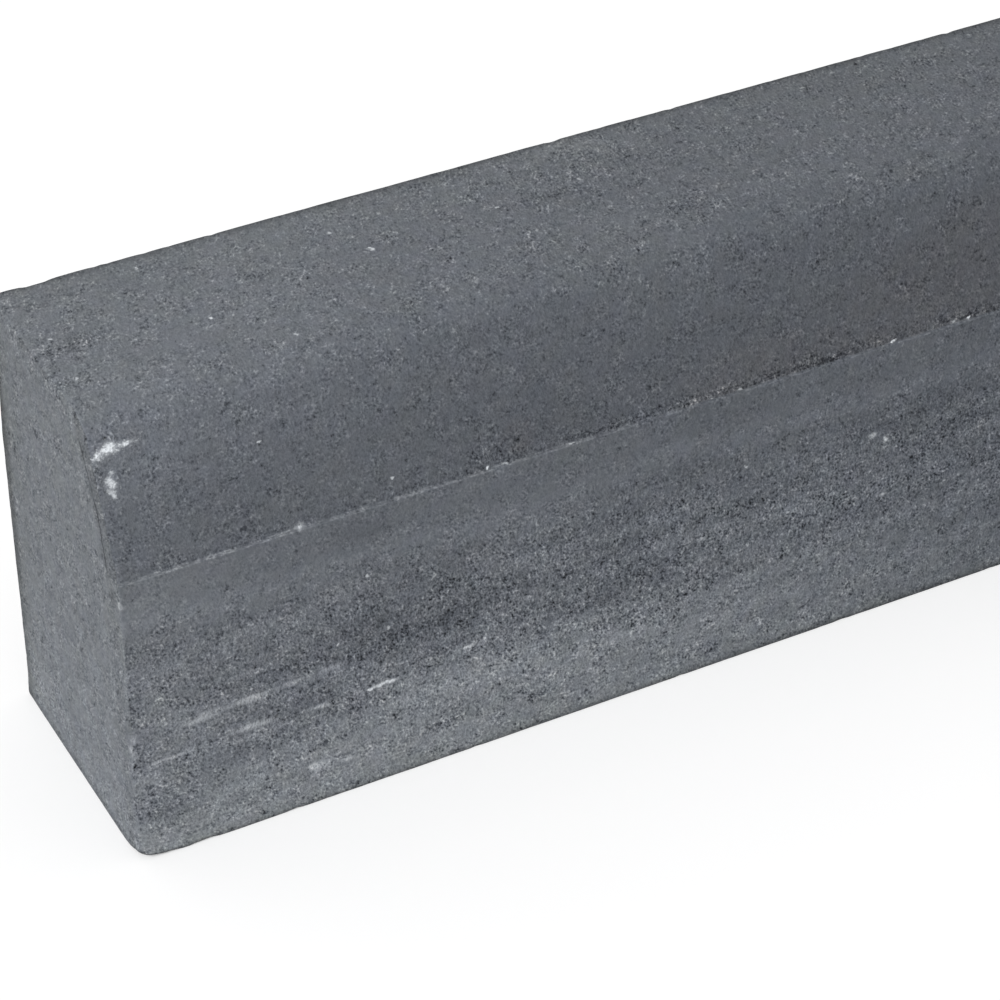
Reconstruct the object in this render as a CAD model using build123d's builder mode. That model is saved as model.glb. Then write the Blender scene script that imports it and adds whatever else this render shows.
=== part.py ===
from build123d import *
import os

# Overall size of the kerb stone, in millimetres
length = 1000
base_width = 150
height = 250

# The upright lower face ends at a small ledge, and the battered face leans back from its foot
upright_height = 174
ledge_depth = 2
crown_setback = 30

# Rounded edges of the section
crown_radius = 20
back_radius = 2
foot_radius = 2
nose_radius = 1
root_radius = 0.6

# The softened arris round each cut end
end_radius = 1.5

# The section stands on the ground line, with its middle at the origin and the road side at the left
front = -base_width / 2
back = base_width / 2
batter_foot = front + ledge_depth
crown = front + crown_setback

with BuildPart() as kerb_stone:
    with BuildSketch(Plane.YZ) as section:
        with BuildLine() as outline:
            Polyline(
                (front, 0),
                (front, upright_height),
                (batter_foot, upright_height),
                (crown, height),
                (back, height),
                (back, 0),
                close=True,
            )
        make_face()

        # The ledge: its outer nose, then the root where the batter starts
        ledge = section.vertices().group_by(Axis.Y)[1].sort_by(Axis.X)
        fillet(ledge[0], nose_radius)
        level = section.vertices().filter_by_position(Axis.Y, upright_height, upright_height)
        fillet(level.sort_by(Axis.X)[-1], root_radius)

        # The top: a tight arris at the back and the broad crown over the batter
        fillet(section.vertices().group_by(Axis.Y)[-1].sort_by(Axis.X)[-1], back_radius)
        fillet(section.vertices().group_by(Axis.Y)[-1].sort_by(Axis.X)[0], crown_radius)

        # The two long arrises that sit in the bedding
        fillet(section.vertices().group_by(Axis.Y)[0], foot_radius)
    extrude(amount=length / 2, both=True)

    # Both ends are flat and butt against the next stone
    ends = kerb_stone.faces().filter_by(Axis.X)
    fillet(ends.edges(), end_radius)

kerb_stone.part.label = "kerb_stone"

os.makedirs("parts", exist_ok=True)
export_step(kerb_stone.part, "parts/kerb_stone.step")
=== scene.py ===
import math

import bmesh
import bpy
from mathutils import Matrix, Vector, noise


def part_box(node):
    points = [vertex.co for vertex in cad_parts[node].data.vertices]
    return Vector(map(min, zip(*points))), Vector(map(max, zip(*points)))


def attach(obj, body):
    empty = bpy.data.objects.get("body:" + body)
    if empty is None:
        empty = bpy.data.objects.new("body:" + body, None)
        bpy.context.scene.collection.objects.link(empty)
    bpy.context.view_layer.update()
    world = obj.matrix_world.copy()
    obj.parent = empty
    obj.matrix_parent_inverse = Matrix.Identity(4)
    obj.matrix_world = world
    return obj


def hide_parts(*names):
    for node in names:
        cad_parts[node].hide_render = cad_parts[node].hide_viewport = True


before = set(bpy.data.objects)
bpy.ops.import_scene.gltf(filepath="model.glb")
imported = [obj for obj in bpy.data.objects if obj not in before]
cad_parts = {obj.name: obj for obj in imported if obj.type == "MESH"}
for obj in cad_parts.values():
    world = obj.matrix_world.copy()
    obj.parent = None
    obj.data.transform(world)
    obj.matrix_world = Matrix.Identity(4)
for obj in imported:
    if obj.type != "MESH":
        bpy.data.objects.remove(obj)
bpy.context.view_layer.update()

NODE = "kerb_stone"
low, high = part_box(NODE)
MM = 0.001

# The section, in metres: the same sizes as the casting's
UPRIGHT = 174 * MM
LEDGE = 2 * MM
TOP_WIDTH = 120 * MM
CROWN = 20 * MM
NOSE = 1 * MM
ROOT = 0.6 * MM

front, back = low.y, high.y
ground, top = low.z, high.z
near_end, far_end = low.x, high.x
batter_foot = Vector((0, front + LEDGE, UPRIGHT))
batter_head = Vector((0, back - TOP_WIDTH, top))
batter_rise = (batter_head - batter_foot).normalized()
batter_out = Vector((0, -batter_rise.z, batter_rise.y))
half_turn = math.acos(batter_rise.y) / 2
crown_centre = batter_head + Vector((0, CROWN * math.tan(half_turn), -CROWN))


# Places on the stone, in millimetres from the end that the photograph shows


def on_front(along, up):
    return Vector((near_end + along * MM, front, ground + up * MM))


def on_batter(along, up_slope):
    foot = batter_foot + batter_rise * up_slope * MM
    return Vector((near_end + along * MM, foot.y, foot.z))


def on_top(along, depth):
    return Vector((near_end + along * MM, front + depth * MM, top))


def on_end(depth, up):
    return Vector((near_end, front + depth * MM, ground + up * MM))


# The casting: its section pushed along the length, then cut into a fine net


def is_long(edge):
    return abs(edge.verts[0].co.x - edge.verts[1].co.x) > (far_end - near_end) / 2


def is_at(vert, y, z):
    return abs(vert.co.y - y) < MM / 10 and abs(vert.co.z - z) < MM / 10


def push_section(bm):
    """The plain casting, with its crown and its ledge rounded and its arrises still sharp."""
    corners = [
        (front, ground),
        (front, UPRIGHT),
        (batter_foot.y, UPRIGHT),
        (batter_head.y, top),
        (back, top),
        (back, ground),
    ]
    section = bm.faces.new([bm.verts.new((near_end, y, z)) for y, z in corners])
    pushed = bmesh.ops.extrude_face_region(bm, geom=[section])["geom"]
    moved = [v for v in pushed if isinstance(v, bmesh.types.BMVert)]
    bmesh.ops.translate(bm, verts=moved, vec=(far_end - near_end, 0, 0))
    bmesh.ops.recalc_face_normals(bm, faces=bm.faces)
    # Where each rounding lies, how far it reaches from its corner, and in how many flats
    roundings = [
        (batter_head.y, top, CROWN * math.tan(half_turn), 12),
        (front, UPRIGHT, NOSE, 3),
        (batter_foot.y, UPRIGHT, ROOT * math.tan(half_turn), 2),
    ]
    for y, z, reach, segments in roundings:
        edges = [e for e in bm.edges if is_long(e) and is_at(e.verts[0], y, z)]
        bmesh.ops.bevel(
            bm, geom=edges, offset=reach, offset_type="OFFSET", affect="EDGES",
            segments=segments, profile=0.5, material=-1,
        )


# How far apart the cuts lie on what shows, and on the back and the underside
PITCH = 3.3 * MM
HIDDEN_PITCH = 9 * MM

# How far from an arris the cuts beside it lie
BESIDE = [0.5 * MM, 1.2 * MM, 2.1 * MM, 3.3 * MM, 5 * MM, 7.2 * MM]

ALONG, DEPTH, UP = 0, 1, 2


def net_lines(start, stop, pitch):
    """Places for cuts from arris to arris: close beside each, even between."""
    inner = stop - start - 2 * BESIDE[-1]
    count = round(inner / pitch)
    even = [start + BESIDE[-1] + inner * k / count for k in range(1, count)]
    return [start + b for b in BESIDE] + even + [stop - b for b in BESIDE]


def cut(bm, faces, axis, places):
    """Cuts these faces, and what the cuts make of them, square to an axis at each place."""
    normal = Vector((0, 0, 0))
    normal[axis] = 1
    for place in places:
        edges = {e for f in faces for e in f.edges}
        verts = {v for f in faces for v in f.verts}
        geom = bmesh.ops.bisect_plane(
            bm, geom=[*verts, *edges, *faces], dist=MM / 1000,
            plane_co=normal * place, plane_no=normal,
        )["geom"]
        faces = [f for f in geom if isinstance(f, bmesh.types.BMFace)]


def cut_net(bm):
    """A net fine enough to carry wear, closest beside the arrises and the ledge."""
    heights = net_lines(ground, top, PITCH)
    depths = net_lines(front, back, PITCH)
    crown_start = batter_head.z - CROWN
    clear_of_ledge = UPRIGHT + 10 * MM
    beside_ledge = BESIDE[:4]
    gap = 2 * BESIDE[2]

    # The section's faces, each along its own height or depth
    walls = [f for f in bm.faces if abs(f.normal.x) < 0.1]
    road_side = [f for f in walls if f.normal.y < -0.9]
    upright = [f for f in road_side if f.calc_center_median().z < UPRIGHT]
    batter = [f for f in road_side if f.calc_center_median().z > clear_of_ledge]
    level = [f for f in walls if f.normal.z > 0.999]
    flat_top = [f for f in level if f.calc_center_median().z > clear_of_ledge]
    cut(bm, upright, UP, [z for z in heights if z < UPRIGHT - NOSE - gap])
    upright = [f for f in bm.faces if f.normal.y < -0.99]
    cut(bm, upright, UP, [UPRIGHT - NOSE - b for b in beside_ledge])
    cut(bm, batter, UP, [UPRIGHT + ROOT + b for b in beside_ledge])
    batter = [f for f in bm.faces if -0.99 < f.normal.y < -0.9 and abs(f.normal.x) < 0.1]
    cut(bm, batter, UP, [z for z in heights if UPRIGHT + ROOT + gap < z < crown_start])
    cut(bm, flat_top, DEPTH, [y for y in depths if y > batter_head.y + 4 * MM])
    cut(bm, [f for f in walls if f.normal.y > 0.9], UP, net_lines(ground, top, HIDDEN_PITCH))
    cut(bm, [f for f in walls if f.normal.z < -0.9], DEPTH, net_lines(front, back, HIDDEN_PITCH))

    # The length, with closer cuts beside each end
    long_edges = [e for e in bm.edges if is_long(e)]
    count = round((far_end - near_end) / PITCH)
    bmesh.ops.subdivide_edges(bm, edges=long_edges, cuts=count - 1, use_grid_fill=True)
    walls = [f for f in bm.faces if abs(f.normal.x) < 0.1]
    reach = 2 * PITCH
    for end, inward in ((near_end, 1), (far_end, -1)):
        strip = [f for f in walls if abs(f.calc_center_median().x - end) < reach]
        walls = [f for f in walls if abs(f.calc_center_median().x - end) >= reach]
        cut(bm, strip, ALONG, [end + inward * b for b in BESIDE])

    # The ends, both ways
    for axis, places in ((UP, heights), (DEPTH, depths)):
        cut(bm, [f for f in bm.faces if abs(f.normal.x) > 0.9], axis, places)


# Wear: arrises rubbed round, crumbs broken off, faces not quite flat


def ripple(p, size, octaves=2):
    """Smooth chance between about -1 and 1, with waves of a given size in millimetres.

    Each further octave is half as long and half as strong.
    """
    return noise.fractal(p / (size * MM), 1.0, 2.0, octaves)


def crumbs(p, size, rarity):
    """Zero mostly, and up to about 1 where a crumb has broken off."""
    return max(0.0, ripple(p, size) - rarity) / (1 - rarity)


def hill(p, centre, size):
    """One at the centre, falling smoothly to nothing past about twice the size in millimetres."""
    return math.exp(-((p - centre).length / (size * MM)) ** 2)


def ease(value, start, stop):
    """Rises smoothly from 0 at start to 1 at stop, or falls where the stop comes first."""
    share = min(1.0, max(0.0, (value - start) / (stop - start)))
    return share * share * (3 - 2 * share)


# Less than this is the same place
HAIR = MM / 100

# The way out through each flat face
OUT_NEAR, OUT_FAR = Vector((-1, 0, 0)), Vector((1, 0, 0))
OUT_FRONT, OUT_BACK = Vector((0, -1, 0)), Vector((0, 1, 0))
OUT_TOP, OUT_UNDER = Vector((0, 0, 1)), Vector((0, 0, -1))


def under_slope(p):
    """The way out through the batter, the crown or the top, and how deep the point lies."""
    section = Vector((0, p.y, p.z))
    arm = section - crown_centre
    if arm.y >= 0:
        return OUT_TOP, top - p.z
    if arm.dot(batter_rise) <= 0:
        return batter_out, (batter_foot - section).dot(batter_out)
    return arm.normalized(), CROWN - arm.length


def faces_over(p):
    """Each face that a point lies under: the way out through it and how deep the point lies."""
    end = (OUT_NEAR, p.x - near_end) if p.x < 0 else (OUT_FAR, far_end - p.x)
    if p.y <= 0 and p.z > UPRIGHT + HAIR:
        return [end, under_slope(p)]
    side = (OUT_FRONT, p.y - front) if p.y <= 0 else (OUT_BACK, back - p.y)
    if p.z < UPRIGHT / 2:
        return [end, side, (OUT_UNDER, p.z - ground)]
    if p.y <= 0:
        return [end, side]
    return [end, side, (OUT_TOP, top - p.z)]


# How round the arrises are worn, in millimetres: all round an end, what the batter, the foot and
# the rear add to that, and along the stone
END_WEAR, ON_BATTER, AT_FOOT, AT_REAR = 0.7, 1.5, -0.3, 1.4
LONG_WEAR = 0.8
LEAST_WEAR = 0.4

# Places where more has gone: centre, size and how much rounder, in millimetres
CHIPS = [
    (on_front(0, 0), 12, 6.5),
    (on_front(0, 183), 9, 2.5),
    (on_front(0, 92), 15, 3.6),
    (on_front(0, 71), 4, 2.2),
    (on_top(24, 150), 8, 1.8),
    (on_front(17, 0), 4, 1.3),
    (on_front(36, 0), 5, 1.6),
]


def arris_radius(p):
    """How round the arrises near a point are worn, in metres."""
    from_foot = math.hypot(p.y - front, p.z - ground)
    from_heel = math.hypot(p.y - back, p.z - ground)
    from_rear = math.hypot(p.y - back, p.z - top)
    long_share = ease(min(from_foot, from_heel, from_rear), 14 * MM, 6 * MM)
    slope = ease(p.z, UPRIGHT - 4 * MM, UPRIGHT + 6 * MM)
    foot = ease(p.z, 12 * MM, 3 * MM)
    rear = ease(p.y, back - 12 * MM, back - 5 * MM)
    end_wear = END_WEAR + ON_BATTER * slope + AT_FOOT * foot + AT_REAR * rear
    end_wear += (0.3 + 0.7 * slope) * ripple(p, 9)
    end_wear += (1.5 + 1.5 * slope - foot) * crumbs(p, 5, 0.3)
    long_wear = LONG_WEAR + 0.3 * ripple(p, 24) + 2.2 * crumbs(p, 7, 0.35)
    radius = end_wear + (long_wear - end_wear) * long_share
    for centre, size, extra in CHIPS:
        radius += extra * hill(p, centre, size)
    return max(LEAST_WEAR, radius) * MM


def worn(p, radius):
    """Where a point ends up once the arrises near it are rubbed to a radius."""
    faces = faces_over(p)
    short = [max(0.0, radius - max(0.0, depth)) for _, depth in faces]
    reach = math.hypot(*short)
    if reach <= radius:
        return p
    for (out, _), gap in zip(faces, short):
        p = p - out * gap * (1 - radius / reach)
    return p


def fret_nose(p):
    """The ledge's nose: a fine straight lip by the visible end, more and more frayed along it."""
    lip = 3 * MM
    from_nose = abs(p.z - UPRIGHT)
    if p.y > batter_foot.y or from_nose > lip or p.z > UPRIGHT + HAIR:
        return p
    frayed = ease(p.x - near_end, 60 * MM, 300 * MM)
    bite = frayed * max(0.0, ripple(Vector((p.x, 0, 0)), 4, 3) - 0.15) * 2.0 * MM
    return p + Vector((0, bite * (1 - from_nose / lip), 0))


def unevenness(p, core):
    """How far the surface lies inside the mould's own face, in metres."""
    soft = 0.10 * (1 + ripple(p, 55)) + 0.05 * (1 + ripple(p, 12))
    pitted = core * 0.16 * (1 + ripple(p, 6))
    bedded = ease(p.z, ground + 1 * MM, ground + 6 * MM)
    return max(0.0, soft + pitted) * bedded * MM


# What the photograph shows of the surface: tone by height, clouds, stains and open patches

MEAN_COLOUR = (0.146, 0.158, 0.175)

# Pairs of a place in millimetres and the level there. Up the slope from the ledge over the top:
SLOPE_TONES = [(0, 0.59), (30, 0.59), (55, 0.65), (70, 0.67), (80, 0.78), (92, 0.93), (166, 0.98)]
SLOPE_BLUE = [(0, 1.034), (70, 1.034), (90, 1.015), (125, 1.01), (166, 0.985)]
SLOPE_RED = [(0, 0.993), (75, 0.993), (100, 1.002)]

# Up the end, and along its rear arris:
END_TONES = [(0, 1.18), (40, 1.08), (90, 0.95), (150, 0.88), (200, 0.84), (250, 0.80)]
REAR_SHADE = [(20, 0.28), (75, 0.38), (135, 0.38), (160, 0.46), (200, 0.5)]

# Up the upright face:
FRONT_TONES = [
    (0, 1.33), (12, 1.32), (18, 1.26), (30, 1.29), (46, 1.25), (58, 1.12), (70, 0.92), (78, 0.95),
    (95, 0.86), (118, 0.84), (134, 0.77), (146, 0.88), (152, 0.81), (158, 0.75), (174, 0.735),
]
FRONT_BLUE = [(0, 0.95), (12, 0.98), (50, 0.995), (75, 1.018), (174, 1.02)]
FRONT_RED = [(0, 1.006), (50, 1.006), (80, 1.0)]
FRONT_OPENNESS = [(0, 0.36), (45, 0.45), (58, 0.85), (108, 0.8), (128, 0.5), (148, -0.12)]

# Broad clouds and small patches: centre, half sizes along and across, and how much lighter
CLOUDS = [
    (on_front(560, 12), 160, 34, -0.29),
    (on_front(520, 47), 110, 14, -0.16),
    (on_front(50, 48), 55, 13, -0.24),
    (on_front(85, 66), 30, 9, -0.15),
    (on_front(215, 47), 75, 11, 0.13),
    (on_front(420, 88), 65, 12, 0.17),
    (on_front(20, 160), 35, 14, 0.09),
    (on_front(18, 97), 22, 15, 0.24),
    (on_front(130, 106), 45, 12, -0.14),
    (on_front(180, 96), 90, 12, -0.10),
    (on_front(250, 98), 40, 9, -0.08),
    (on_front(275, 72), 28, 7, -0.12),
    (on_front(16, 28), 17, 11, -0.24),
    (on_front(18, 92), 10, 6, 0.08),
    (on_front(125, 161), 26, 11, -0.18),
    (on_front(325, 161), 26, 11, -0.09),
    (on_front(300, 136), 45, 11, -0.11),
    (on_front(480, 136), 26, 10, -0.06),
    (on_front(78, 95), 26, 24, -0.12),
    (on_front(275, 111), 24, 9, -0.10),
    (on_front(480, 88), 26, 11, -0.14),
    (on_front(175, 88), 24, 9, -0.16),
    (on_front(325, 88), 24, 10, 0.10),
    (on_front(225, 28), 24, 9, 0.16),
    (on_front(430, 28), 50, 9, 0.04),
    (on_front(213, 113), 11, 3, 0.18),
    (on_front(265, 13), 8, 3.6, 0.14),
    (on_front(350, 13), 6, 3.2, 0.12),
    (on_front(443, 13), 9, 3.2, 0.12),
    (on_end(4, 82), 6, 9, -0.22),
    (on_end(3, 101), 6, 10, -0.13),
    (on_end(130, 15), 6, 14, 0.14),
    (on_batter(20, 52), 32, 26, 0.15),
    (on_batter(225, 14), 24, 12, -0.12),
    (on_top(325, 137), 25, 10, 0.14),
    (on_top(175, 137), 22, 9, 0.10),
    (on_batter(326, 67), 6, 6, 0.2),
    (on_top(50, 48), 90, 9, 0.06),
    (on_top(30, 90), 25, 5, 0.06),
    (on_top(20, 95), 90, 60, 0.03),
    (on_top(308, 145), 9, 5, 0.2),
    (on_top(431, 44), 7, 5, 0.2),
    (on_top(484, 38), 6, 4, 0.2),
    (on_top(498, 52), 6, 4, 0.2),
    (on_front(235, 47), 70, 9, 0.07),
    (on_front(185, 67), 60, 8, -0.06),
    (on_front(335, 67), 40, 8, 0.06),
    (on_front(335, 12), 22, 7, 0.10),
    (on_batter(60, 60), 40, 10, 0.05),
    (on_batter(437, 2), 6, 3, -0.3),
    (on_top(60, 135), 40, 10, -0.06),
    (on_top(330, 100), 60, 18, -0.05),
]

# Places where the texture is open, with their half sizes
OPEN_PATCHES = [
    (on_front(168, 22), 13, 3.5),
    (on_front(252, 26), 5, 2.5),
    (on_front(113, 38), 4, 2.5),
    (on_front(74, 16), 5, 3),
    (on_front(98, 45), 7, 4),
    (on_front(172, 25), 12, 2.6),
    (on_front(222, 20), 8, 3),
    (on_front(301, 22), 5, 2.6),
    (on_front(329, 13), 6, 3),
    (on_front(314, 130), 5, 3),
    (on_top(343, 64), 12, 6),
    (on_top(20, 90), 16, 9),
    (on_top(12, 62), 7, 6),
    (on_batter(271, 22), 5, 5),
    (on_batter(198, 8), 12, 5),
    (on_batter(73, 3), 5, 4),
    (on_batter(369, 23), 6, 4),
    (on_batter(384, 3), 9, 4),
    (on_batter(358, 66), 5, 4),
]

# Softer ones, with how much more open they are
OPEN_CLOUDS = [
    (on_front(20, 138), 26, 22, 0.35),
    (on_front(15, 30), 22, 20, 0.6),
    (on_front(20, 74), 20, 11, -0.2),
    (on_front(185, 98), 60, 22, 0.34),
    (on_front(80, 64), 40, 9, 0.32),
    (on_front(186, 70), 30, 8, 0.25),
    (on_front(450, 60), 95, 18, -0.28),
    (on_front(300, 50), 20, 14, 0.2),
    (on_top(250, 52), 80, 8, 0.2),
    (on_top(310, 115), 55, 20, 0.3),
    (on_top(70, 68), 30, 10, -0.3),
    (on_top(342, 62), 12, 10, 0.4),
    (on_batter(326, 69), 7, 7, 0.5),
    (on_top(430, 42), 7, 5, 0.5),
]

# The brown stains on the batter
BROWN_PATCHES = [
    (on_batter(525, 10), 122, 50),
    (on_batter(362, 2), 52, 20),
    (on_batter(216, 12), 9, 8),
]

# Red and blue read chance at places of their own, so that they drift apart
RED_DRIFT, BLUE_DRIFT = on_top(0, 0), on_end(0, 0)


def read_off(value, stops):
    """The level at a value, straight between the stops on either side of it."""
    for (low_value, low_level), (high_value, high_level) in zip(stops, stops[1:]):
        if value <= high_value:
            share = max(0.0, (value - low_value) / (high_value - low_value))
            return low_level + (high_level - low_level) * share
    return stops[-1][1]


# Past this many half sizes a patch or a cloud no longer counts
FAR = 2.0


def half_sizes_off(p, centre, along, across):
    """How many half sizes a point lies from a centre, up to the most that counts."""
    gap = p - centre
    gap.x /= along * MM
    if abs(gap.x) > FAR:
        return FAR
    gap.y /= across * MM
    gap.z /= across * MM
    return min(FAR, gap.length)


def patch(p, patches):
    """How much a point lies in one of these patches, from 0 to 1, with a ragged edge."""
    found = 0.0
    for centre, along, across in patches:
        off = half_sizes_off(p, centre, along, across)
        if off < FAR:
            found = max(found, ease(off, 1.25, 0.75))
    return min(1.0, found * (1 + 0.7 * ripple(p, 7))) if found else 0.0


def clouding(p, clouds):
    """What these soft clouds add up to at a point."""
    share = 0.0
    for centre, along, across, change in clouds:
        off = half_sizes_off(p, centre, along, across)
        if off < FAR:
            share += change * math.exp(-off * off)
    return share


def beside_face(p):
    """On an end: how dark the strip along the road side is, out to where the mould's seam ran."""
    above = ease(p.z, UPRIGHT - 6 * MM, UPRIGHT + 4 * MM)
    inside = (batter_foot - Vector((0, p.y, p.z))).dot(batter_out)
    from_face = p.y - front + 2 * MM * ripple(p, 12, 2)
    high_up = ease(p.z, 135 * MM, 160 * MM)
    below = (0.1 + 0.08 * high_up) * math.exp(-((from_face - 9.5 * MM) / (4.5 * MM)) ** 2)
    return below + above * (0.22 * ease(inside, 14.5 * MM, 9.5 * MM) - below)


def openness(p, out):
    """How open the concrete's texture is here: 0 for the dense face mix, 1 for the core mix."""
    if abs(out.x) > 0.5:
        core = -0.08 + 0.4 * max(0.0, ripple(p, 20, 3)) + 1.2 * beside_face(p)
    elif out.y > 0.5:
        core = 0.8
    elif p.z < UPRIGHT:
        core = read_off((p.z - ground) / MM + 5 * ripple(p, 25), FRONT_OPENNESS)
        core += 0.3 * ripple(p, 11, 3) - 0.25 * ease(p.x - near_end, 90 * MM, 10 * MM)
    else:
        clustered = 0.6 + 0.3 * ease(p.y, batter_head.y - 20 * MM, batter_head.y + 10 * MM)
        core = -0.04 + clustered * max(0.0, ripple(p, 12, 3) - 0.04)
        beside_ledge = ease(p.z, UPRIGHT + 7 * MM, UPRIGHT + 2 * MM)
        core += 0.8 * beside_ledge * ease(p.x - near_end, 40 * MM, 320 * MM)
    core += 0.7 * patch(p, OPEN_PATCHES) + clouding(p, OPEN_CLOUDS)
    return min(1.2, max(-0.3, core))


def arris_shade(p, out):
    """The darker lines along the underside and the rear arrises, as a share of the tone."""
    if out.z > 0.5:
        return 1 - 0.42 * math.exp(-((back - p.y) / (4.4 * MM)) ** 2)
    if abs(out.x) > 0.5:
        below = 0.26 * ease(p.z - ground, 8 * MM, 2 * MM)
        behind = read_off((p.z - ground) / MM, REAR_SHADE)
        return 1 - below - behind * ease(back - p.y, 12.5 * MM, 4.7 * MM)
    far = ease(p.x - near_end, 100 * MM, 350 * MM)
    return 1 - (0.4 + 0.06 * far) * ease(p.z - ground, (3.8 + 1.4 * far) * MM, 1 * MM)


def colour_and_painted_shade(p, out, worn_by):
    """The concrete's colour at a point, without its grain, with painted shade along the underside and
    the rear arrises.
    """
    up = (p.z - ground) / MM
    core = ease(up + 5 * ripple(p, 25), 150, 128)
    rear = ease(p.y, back - 40 * MM, back)
    if abs(out.x) > 0.5:
        tone = read_off(up, END_TONES) * (1 - 0.04 * rear) * (1 - beside_face(p))
        tone *= 1 + 0.13 * ripple(p, 6, 2)
        blue, red = 0.99 - 0.03 * rear, 1.004
    elif out.y > 0.5:
        tone, blue, red, core = 0.9, 1.0, 1.0, 0.8
    elif p.z < UPRIGHT:
        tone = read_off(up + 4 * ripple(p, 60), FRONT_TONES)
        along = (p.x - near_end) / MM / 500
        blue = read_off(up, FRONT_BLUE) - 0.008 + 0.021 * along
        red = read_off(up, FRONT_RED) + 0.003 - 0.010 * along
    else:
        slope = (Vector((0, p.y, p.z)) - batter_foot).length / MM
        tone = read_off(slope, SLOPE_TONES)
        blue = read_off(slope, SLOPE_BLUE)
        red = read_off(slope, SLOPE_RED)
        blue -= 0.012 * ease(p.x - near_end, 150 * MM, 0) * ease(slope, 75, 95)
    change = 1 + 0.05 * ripple(p, 70, 3) + (0.04 + 0.06 * core) * ripple(p, 16, 3) + clouding(p, CLOUDS)
    change += 0.03 * ripple(p, 7, 2)
    tone *= change
    # Painted shade along the underside and the rear arrises
    tone *= arris_shade(p, out)
    tone *= 1 - 0.14 * min(1.0, worn_by / MM)
    brown = patch(p, BROWN_PATCHES) if p.z > UPRIGHT else 0.0
    green = 0.5 * ease(ripple(p, 45), 0.1, 0.6) * (1 - core)
    paler = math.log(change)
    red += 0.036 * brown + 0.025 * paler + 0.022 * ripple(p + RED_DRIFT, 9, 3)
    blue += 0.034 * ripple(p + BLUE_DRIFT, 9, 3) - 0.03 * brown - 0.03 * green - 0.07 * paler
    return [part * tone * share for part, share in zip(MEAN_COLOUR, (red, 1, blue))] + [1.0]


def weather(bm):
    """Wears every point inward, and gives it its colour and the openness of its texture."""
    bm.normal_update()
    colour = bm.verts.layers.float_color.new("colour and painted shade")
    texture = bm.verts.layers.float.new("openness")
    inset = {}
    for vert in bm.verts:
        sharp = vert.co.copy()
        out = max(faces_over(sharp), key=lambda face: -abs(face[1]))[0]
        vert.co = worn(fret_nose(sharp), arris_radius(sharp))
        worn_by = (vert.co - sharp).length
        open_share = openness(sharp, out) + 0.4 * min(1.0, worn_by / MM)
        vert[texture] = open_share
        vert[colour] = colour_and_painted_shade(sharp, out, worn_by)
        inset[vert] = unevenness(sharp, max(0.0, open_share))
    bm.normal_update()
    for vert, depth in inset.items():
        vert.co -= vert.normal * depth


def make_kerb():
    bm = bmesh.new()
    push_section(bm)
    cut_net(bm)
    weather(bm)
    for face in bm.faces:
        face.smooth = True
    mesh = bpy.data.meshes.new("kerb")
    bm.to_mesh(mesh)
    bm.free()
    kerb = bpy.data.objects.new("kerb", mesh)
    bpy.context.scene.collection.objects.link(kerb)
    kerb.data.materials.append(concrete())
    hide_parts(NODE)
    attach(kerb, "root")


# Concrete


class Wire:
    """A shader socket that adds up in Python: each sum of wires and numbers is a Math node."""

    def __init__(self, tree, socket=None):
        self.tree = tree
        self.socket = socket

    def node(self, kind, inputs=None, out=0, **settings):
        """Any other node: its settings, then what its sockets hold. Gives the output asked for."""
        made = self.tree.nodes.new("ShaderNode" + kind)
        for name, value in settings.items():
            setattr(made, name, value)
        for name, value in (inputs or {}).items():
            socket = [s for s in made.inputs if s.enabled and name in (s.name, s.identifier)][0]
            if isinstance(value, Wire):
                self.tree.links.new(value.socket, socket)
            else:
                socket.default_value = value
        shown = [s for s in made.outputs if s.enabled]
        chosen = [s for s in shown if s.name == out] if isinstance(out, str) else [shown[out]]
        return Wire(self.tree, chosen[0])

    def vector(self, operation, second=None):
        """Vector Math on this wire, and on another one or a fixed vector."""
        sockets = {"Vector": self}
        if second is not None:
            sockets["Vector_001"] = second
        return self.node("VectorMath", sockets, operation=operation)

    def maths(self, operation, first, second=0.0):
        """A Math node, on wires or numbers."""
        made = self.tree.nodes.new("ShaderNodeMath")
        made.operation = operation
        for socket, value in zip(made.inputs, (first, second)):
            if isinstance(value, Wire):
                self.tree.links.new(value.socket, socket)
            else:
                socket.default_value = value
        return Wire(self.tree, made.outputs[0])

    def __add__(self, other):
        return self.maths("ADD", self, other)

    __radd__ = __add__

    def __sub__(self, other):
        return self.maths("SUBTRACT", self, other)

    def __rsub__(self, other):
        return self.maths("SUBTRACT", other, self)

    def __mul__(self, other):
        return self.maths("MULTIPLY", self, other)

    __rmul__ = __mul__

    def least(self, other):
        return self.maths("MINIMUM", self, other)

    def between(self, start, stop):
        """Rises smoothly from 0 at start to 1 at stop; a start above the stop makes it fall."""
        if start > stop:
            return 1 - self.between(stop, start)
        ends = {"Value": self, "From Min": start, "From Max": stop}
        return self.node("MapRange", ends, interpolation_type="SMOOTHSTEP")


def grain(place, size, detail=1.0, rough=0.5, stretch=None):
    """Cloudy chance between 0 and 1, with spots of about this size in millimetres."""
    if stretch:
        place = place.vector("MULTIPLY", stretch)
    return place.node(
        "TexNoise",
        {"Vector": place, "Scale": 0.5 / (size * MM), "Detail": detail, "Roughness": rough},
    )


def nearest(place, marks):
    """Distance to the nearest mark, where 1 is that mark's own edge."""
    found = None
    for centre, along, across in marks:
        shrink = Vector((1 / along, 1 / across, 1 / across)) / MM
        gap = place.vector("SUBTRACT", centre).vector("MULTIPLY", shrink).vector("LENGTH")
        found = gap if found is None else found.least(gap)
    return found


# Marks: centre, and half sizes along the stone and across it, in millimetres

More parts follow.
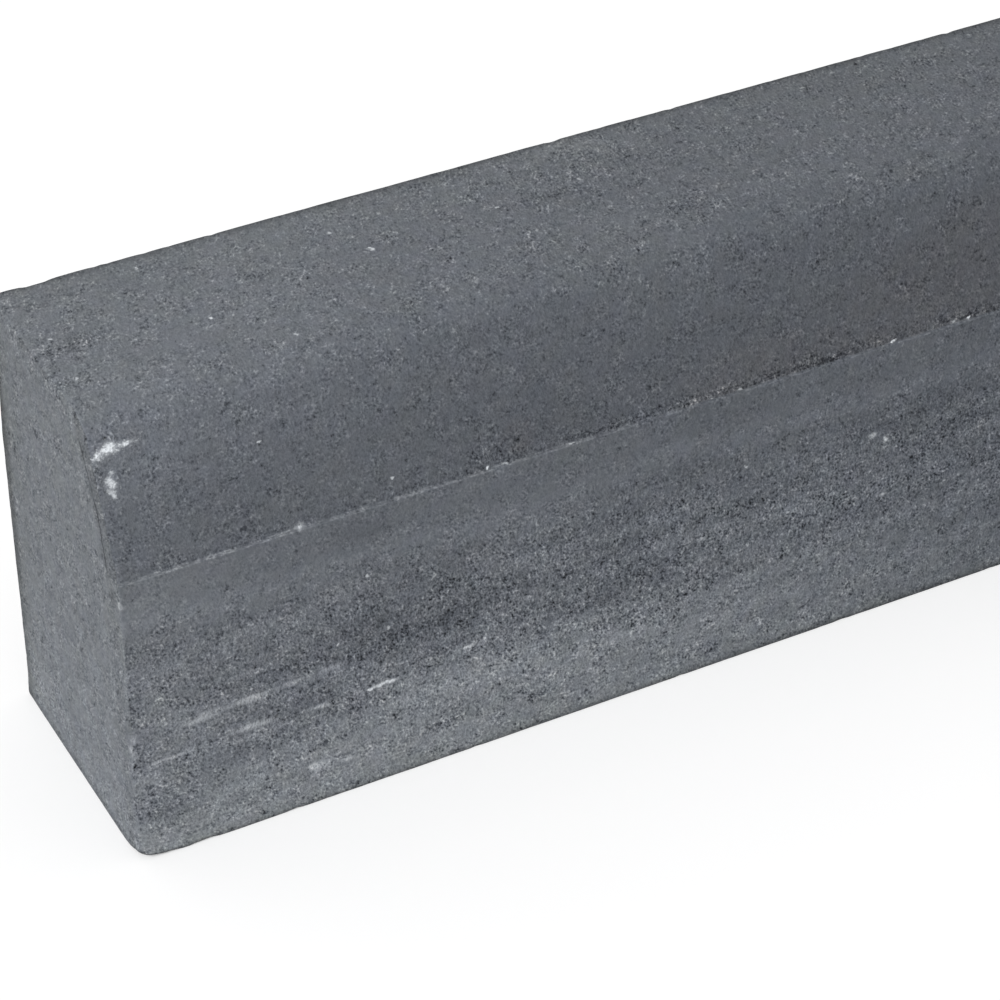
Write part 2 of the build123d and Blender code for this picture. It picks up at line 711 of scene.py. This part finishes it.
# Lime scraped on, thick and faint
SCRAPES = [
    (on_batter(4.6, 62.7), 3.4, 2.4),
    (on_batter(7.4, 63.8), 3.4, 3.0),
    (on_batter(10.6, 64.7), 4.6, 3.4),
    (on_batter(17, 64.9), 6.5, 1.4),
    (on_batter(8.6, 53.1), 1.5, 1.3),
    (on_batter(7.8, 48), 2.7, 2.9),
    (on_batter(7.9, 42.8), 1.5, 2.5),
]
FAINT_SCRAPES = [
    (on_front(66, 63.2), 12, 2.1),
    (on_front(35, 78.2), 10, 1.9),
    (on_front(62, 81.6), 12, 1.9),
    (on_batter(8, 47.6), 3.4, 5.6),
    (on_batter(94.6, 0.6), 3.6, 2.2),
]

# Pale spots and streaks, and the bright cores of both
SPOTS = [
    (on_front(423, 119), 3.2, 2.0),
    (on_front(431.5, 114.5), 1.8, 2.6),
    (on_front(432, 78), 2.4, 1.2),
    (on_front(345, 125), 1.6, 1.6),
    (on_front(129, 134), 1.0, 1.8),
    (on_front(139, 97), 1.2, 1.8),
    (on_front(112, 97), 0.8, 1.2),
    (on_batter(94.6, 0.4), 1.5, 1.0),
    (on_batter(196, 0.3), 1.3, 1.1),
    (on_batter(206, -0.6), 1.7, 1.3),
    (on_batter(243, -0.4), 2.0, 0.9),
    (on_batter(324, -0.6), 1.6, 0.8),
    (on_batter(340, -0.4), 1.8, 1.2),
    (on_batter(433, 0.4), 2.2, 1.1),
    (on_batter(470, 0.3), 1.3, 0.8),
    (on_batter(478, 0.1), 1.9, 0.9),
    (on_batter(83, 47), 0.8, 0.8),
    (on_batter(146, 10), 1.1, 1.0),
    (on_top(171, 123), 1.2, 1.5),
    (on_top(88, 81), 1.0, 1.4),
    (on_top(256, 105), 1.0, 1.1),
    (on_top(74, 138), 1.0, 1.5),
    (on_top(13, 100), 1.0, 1.4),
    (on_top(11, 63), 0.9, 1.3),
    (on_top(118, 49), 0.9, 1.6),
]
STREAKS = [
    (on_front(136, 62.6), 12, 2.0),
    (on_front(122, 62.2), 5, 1.8),
    (on_front(103, 62), 12, 2.2),
    (on_front(63, 64.6), 14, 3.2),
    (on_front(22, 61), 16, 1.5),
    (on_front(64, 80.8), 11, 3.0),
    (on_front(88, 82), 13, 2.6),
    (on_front(43, 80.4), 15, 2.8),
    (on_front(108, 83.5), 9, 2.4),
    (on_front(184, 67.5), 9, 2.6),
    (on_front(98, 24), 6, 3.2),
    (on_front(115, 22), 5, 2.6),
    (on_batter(94, 0.3), 3.4, 2.6),
    (on_batter(88, 0.2), 6, 1.4),
    (on_front(0, 162), 1.4, 4),
    (on_front(0, 72), 2, 4.5),
    (on_front(2, 79), 2, 3),
]
CORES = [
    (on_front(137, 62.7), 7, 1.4),
    (on_front(129, 61.9), 2.6, 1.1),
    (on_front(184, 68.2), 3, 1.2),
    (on_front(193, 70.4), 1.2, 1.2),
    (on_front(431.5, 114.5), 0.8, 1.1),
    (on_batter(196, 0.3), 0.8, 0.7),
    (on_batter(432, 0.5), 1.2, 0.7),
    (on_batter(479, 0.2), 0.9, 0.6),
    (on_top(183, 100), 1.3, 1.4),
    (on_top(88, 81), 0.7, 0.7),
]

# Small hollows, shown only by painted shade
HOLES = [
    (on_end(97, 200.5), 3.4, 2.6),
    (on_front(7.8, 46.3), 3, 1.8),
    (on_front(6.7, 29.8), 1.6, 1.6),
    (on_front(103, 37), 4, 1.8),
    (on_front(174, 24), 5, 1.2),
    (on_front(165, 24.6), 4, 1.0),
    (on_front(227, 20.5), 5, 1.1),
    (on_batter(67, 8), 2.2, 1.6),
]

# The colour of the lime
LIME = (0.62, 0.65, 0.68, 1)

# Sizes of the grain, in millimetres
FINE, COARSE, CRUMB = 0.6, 1.6, 1.1

# The grain lies longer along this line: lengths count for less along it, by this share
SLANT = Vector((0.377, 0.709, -0.596))
LESS_ALONG = 0.68

# The range over which chance moves the outline of a mark
NUDGE = (4 * MM, 3 * MM, 3 * MM)

# The painted seam shadow runs nearest to the batter's arris at this height, and off from it by this
# slope
SEAM_MIDDLE = UPRIGHT + 30 * MM
SEAM_SLOPE = 0.12


def drawn_out(place):
    """Places that make the grain lie longer along the slanting line."""
    along = place.vector("DOT_PRODUCT", SLANT)
    pull = place.node("VectorMath", {"Vector": SLANT, "Scale": -LESS_ALONG * along}, operation="SCALE")
    return place.vector("ADD", pull)


def nudged(place):
    """Places moved a little by chance, so that marks measured from them have ragged outlines."""
    chance = {"Vector": place, "Scale": 0.5 / (1.5 * MM), "Detail": 1.0}
    shift = place.node("TexNoise", chance, out="Color").vector("SUBTRACT", (0.5, 0.5, 0.5))
    moved = {"Vector": shift, "Vector_001": NUDGE, "Vector_002": place}
    return place.node("VectorMath", moved, operation="MULTIPLY_ADD")


def ledge_light_shade_and_crumbs(place, x, y, z, crumble):
    """A painted highlight on the lip along the nose, and behind it a broken painted shadow at the root
    and pale crumbs, more along the stone.
    """
    beside = y.between(front + 8 * MM, front + 5 * MM)
    frayed = x.between(near_end + 60 * MM, near_end + 320 * MM)
    # The lip: a painted highlight where it catches the light
    lip = z.between(UPRIGHT - 1.0 * MM, UPRIGHT - 0.4 * MM) * z.between(UPRIGHT + 0.4 * MM, UPRIGHT)
    broken = grain(place, 5, 1.0, stretch=(1, 0.2, 0.2)).between(0.3, 0.5)
    lip = lip * beside * broken * (0.2 + 1.6 * crumble.between(0.44, 0.6)) * (1 - 0.5 * frayed)
    lip = lip * (0.3 + 0.7 * x.between(near_end + 8 * MM, near_end + 28 * MM))
    root_band = z.between(UPRIGHT - 0.2 * MM, UPRIGHT + 0.6 * MM)
    root_band = root_band * z.between(UPRIGHT + 5.0 * MM, UPRIGHT + 1.5 * MM) * beside
    gaps = grain(place, 12, 1.0, stretch=(0.5, 1, 1)).between(0.4, 0.6)
    # Dark: painted shadow at the ledge's root, broken by chance; pale: crumbs
    dark = root_band * crumble.between(0.48, 0.36) * (0.2 + 0.4 * frayed * gaps)
    pale = root_band * crumble.between(0.56, 0.66) * (0.1 + 0.9 * frayed * gaps)
    return lip, dark, pale


def seam_shadow_line(bent, x, z, crumble):
    """Painted shadow: the thin dark line in the groove that the mould's seam left on the end, beside
    the batter's arris.
    """
    inside = bent.vector("SUBTRACT", batter_foot).vector("DOT_PRODUCT", -batter_out)
    inside = inside - SEAM_SLOPE * z.maths("ABSOLUTE", z - SEAM_MIDDLE)
    seam_shadow = inside.between(5.6 * MM, 6.4 * MM) * inside.between(7.6 * MM, 6.8 * MM)
    seam_shadow = seam_shadow * x.between(near_end + 2.2 * MM, near_end + 1.2 * MM)
    seam_shadow = seam_shadow * z.between(UPRIGHT, UPRIGHT + 4 * MM) * z.between(top - 8 * MM, top - 18 * MM)
    return seam_shadow * crumble.between(0.76, 0.54)


def lime_share(bent, z, fine, coarse, crumble):
    """How much lime covers the concrete: spots, their bright cores, and scrapes."""
    spot = (nearest(bent, SPOTS) + 1.2 * fine).between(1.2, 0.3)
    bright = (nearest(bent, CORES) + 1.2 * fine).between(1.2, 0.5)
    scrape = (nearest(bent, SCRAPES) + 1.6 * fine + 1.4 * coarse).between(1.3, 0.1)
    faint = (nearest(bent, FAINT_SCRAPES) + 1.6 * fine + 1.4 * coarse).between(1.2, 0.3)
    upper = z.between(UPRIGHT + 51 * MM, UPRIGHT + 56 * MM)
    scrape = scrape * (0.45 + 0.65 * crumble.between(0.4, 0.58)) * (0.62 + 0.38 * upper)
    return spot * 0.62 + bright * 0.8 + (scrape + 0.28 * faint) * 0.9


def concrete():
    """Dark blue-grey concrete: a dense face mix above, an open streaky core mix below."""
    skin = bpy.data.materials.new("concrete")
    skin.use_nodes = True
    tree = skin.node_tree
    shader = tree.nodes["Principled BSDF"]
    start = Wire(tree)
    place = start.node("TexCoord", out="Object")
    x, y, z = (start.node("SeparateXYZ", {"Vector": place}, out=axis) for axis in "XYZ")
    colour_and_shade = start.node("Attribute", out="Color", attribute_name="colour and painted shade")
    core = start.node("Attribute", out="Fac", attribute_name="openness")

    # The grain gathers in rough spots between smooth ones
    drawn = drawn_out(place)
    rough = grain(drawn, 4.0, 2.0, 0.6).between(0.36, 0.66)
    fine = grain(drawn, FINE, 1.0) - 0.5
    coarse = grain(drawn, COARSE, 2.0, 0.8) - 0.5
    drag = grain(place, 5.0, 1.0, stretch=(0.14, 1, 1)) - 0.5
    crumble = grain(place, CRUMB, 2.0, 0.7, stretch=(0.6, 1, 1))
    flecks = (coarse + fine).between(0.18, 0.32)
    flecks = flecks * (0.15 + 0.5 * core + 0.25 * z.between(top - 24 * MM, top - 4 * MM))
    specks = fine * (1.3 + 1.6 * core) + coarse * (1.1 + 1.2 * core) + flecks
    specks = 1 + specks * (0.5 + 0.2 * core + rough * (1 - 0.5 * core)) + drag * core
    ends = x.maths("ABSOLUTE", x).between(far_end - 2.5 * MM, far_end - 1 * MM)
    specks = specks + (grain(place, 2.2, 2.0, 0.6) - 0.5) * (0.6 * ends)
    # Pits: low spots of the bump, with painted shade in them
    shaded_pits = coarse.between(-0.18, -0.27)

    # Grain, marks, painted highlight and painted shade together, as one tone that lightens or darkens
    # the concrete's colour
    bent = nudged(place)
    # The ledge's painted highlight, its painted root shadow and its pale crumbs
    lip, painted_root_shadow, pale_crumbs = ledge_light_shade_and_crumbs(place, x, y, z, crumble)
    # The painted shadow in the seam's groove on the end
    seam_shadow = seam_shadow_line(bent, x, z, crumble)
    streak = (nearest(bent, STREAKS) + 1.6 * fine + 1.2 * drag).between(1.2, 0.2)
    # Hollows shown only by painted shade
    hole_shade = (nearest(bent, HOLES) + fine).between(1.1, 0.6)
    tone = specks * (1 - shaded_pits * (0.2 + 0.3 * core)) * (1 + 0.8 * streak) * (1 + 0.5 * lip)
    tone = tone * (1 + 0.9 * pale_crumbs - painted_root_shadow) * (1 - 0.6 * seam_shadow) * (1 - 0.55 * hole_shade)
    tone = tone.maths("MAXIMUM", tone, 0.05)

    # Light grains are a little warmer, dark ones a little bluer, and lime lies over both
    tint = {"X": tone.maths("POWER", tone, 0.04), "Y": 1.0, "Z": tone.maths("POWER", tone, -0.06)}
    shaded = start.node("VectorMath", {"Vector": colour_and_shade, "Scale": tone}, operation="SCALE")
    shaded = shaded.vector("MULTIPLY", start.node("CombineXYZ", tint))
    limed = {"Factor": lime_share(bent, z, fine, coarse, crumble), "A": shaded, "B": LIME}
    limed = start.node("Mix", limed, data_type="RGBA", clamp_factor=True)
    tree.links.new(limed.socket, shader.inputs["Base Color"])
    shader.inputs["Roughness"].default_value = 0.9
    shader.inputs["Specular IOR Level"].default_value = 0.25

    height = fine * (0.35 + 0.5 * core) + coarse * (0.8 + 1.4 * core) - 0.4 * shaded_pits
    bump = start.node("Bump", {"Strength": 1.0, "Distance": 1 * MM, "Height": height})
    tree.links.new(bump.socket, shader.inputs["Normal"])
    return skin


# Studio: the photograph's view, soft light, a pale floor

# The photograph's width and its focal length, in its own pixels
PHOTO_PX = 1000
FOCAL_PX = 3426.6
CAMERA_AT = (-0.9348, -1.2700, 1.1591)
TURN = math.radians(28.05)
DIP = math.radians(36.58)

# The key lamp, a soft square, and the even light all round
KEY_AT = Vector((-1.38, -0.68, 1.06))
KEY_AIM = Vector((-0.35, 0, 0.12))
KEY_SIZE = 0.8
KEY_WATTS = 20
WORLD_LEVEL = 0.6

# How bright the open floor is by itself: from the world, and from the key lamp a metre away
WORLD_ON_FLOOR = 0.49
KEY_ON_FLOOR = 1.40

# The floor's grey, how bright it has to look, and how far it reaches each way
FLOOR_GREY = (0.8, 0.8, 0.8, 1)
FLOOR_LOOK = 1.06
FLOOR_REACH = 6


def set_camera():
    """The photograph's own view, worked out from the stone's vanishing lines."""
    camera = bpy.data.cameras.new("camera")
    camera.sensor_width = 36
    camera.lens = camera.sensor_width * FOCAL_PX / PHOTO_PX
    camera.clip_start = 0.05
    eye = bpy.data.objects.new("camera", camera)
    eye.location = CAMERA_AT
    eye.rotation_euler = (math.pi / 2 - DIP, 0, -TURN)
    bpy.context.scene.collection.objects.link(eye)
    bpy.context.scene.camera = eye


def add_lamp(name, at, aim, size, watts):
    """A soft square lamp, turned towards a point."""
    light = bpy.data.lights.new(name, "AREA")
    light.size = size
    light.energy = watts
    lamp = bpy.data.objects.new(name, light)
    lamp.location = at
    lamp.rotation_euler = (aim - at).to_track_quat("-Z", "Y").to_euler()
    bpy.context.scene.collection.objects.link(lamp)


def set_world(level):
    """Even white light all round, and plain white where the camera looks past the floor."""
    world = bpy.data.worlds.new("studio")
    world.use_nodes = True
    bpy.context.scene.world = world
    tree = world.node_tree
    tree.nodes.clear()
    start = Wire(tree)
    seen = start.node("LightPath", out="Is Camera Ray")
    light = start.node("Background", {"Color": (1, 1, 1, 1), "Strength": level})
    white = start.node("Background", {"Color": (1, 1, 1, 1), "Strength": 1.0})
    mixed = start.node("MixShader", {"Fac": seen, "Shader": light, "Shader_001": white})
    output = tree.nodes.new("ShaderNodeOutputWorld")
    tree.links.new(mixed.socket, output.inputs["Surface"])


def set_floor():
    """A pale floor that reads as even white and keeps the stone's shadow."""
    bm = bmesh.new()
    bmesh.ops.create_grid(bm, x_segments=1, y_segments=1, size=FLOOR_REACH)
    mesh = bpy.data.meshes.new("floor")
    bm.to_mesh(mesh)
    bm.free()
    floor = bpy.data.objects.new("floor", mesh)
    bpy.context.scene.collection.objects.link(floor)
    paint = bpy.data.materials.new("pale floor")
    paint.use_nodes = True
    tree = paint.node_tree
    tree.nodes.clear()
    start = Wire(tree)
    seen = start.node("LightPath", out="Is Camera Ray")
    place = start.node("TexCoord", out="Object")
    ray = place.vector("SUBTRACT", KEY_AT)
    facing = ray.vector("DOT_PRODUCT", (KEY_AIM - KEY_AT).normalized())
    reach = ray.vector("LENGTH")
    from_key = facing * (KEY_AT.z * KEY_ON_FLOOR) * reach.maths("POWER", reach, -4.0)
    missing = ray.maths("MAXIMUM", FLOOR_LOOK - WORLD_ON_FLOOR - from_key, 0.0)
    matt = start.node("BsdfDiffuse", {"Color": FLOOR_GREY})
    white = start.node("Emission", {"Color": seen * missing, "Strength": 1.0})
    both = start.node("AddShader", {"Shader": matt, "Shader_001": white})
    output = tree.nodes.new("ShaderNodeOutputMaterial")
    tree.links.new(both.socket, output.inputs["Surface"])
    mesh.materials.append(paint)


make_kerb()
set_camera()
add_lamp("key", KEY_AT, KEY_AIM, KEY_SIZE, KEY_WATTS)
set_world(WORLD_LEVEL)
set_floor()
bpy.context.scene.view_settings.view_transform = "Standard"
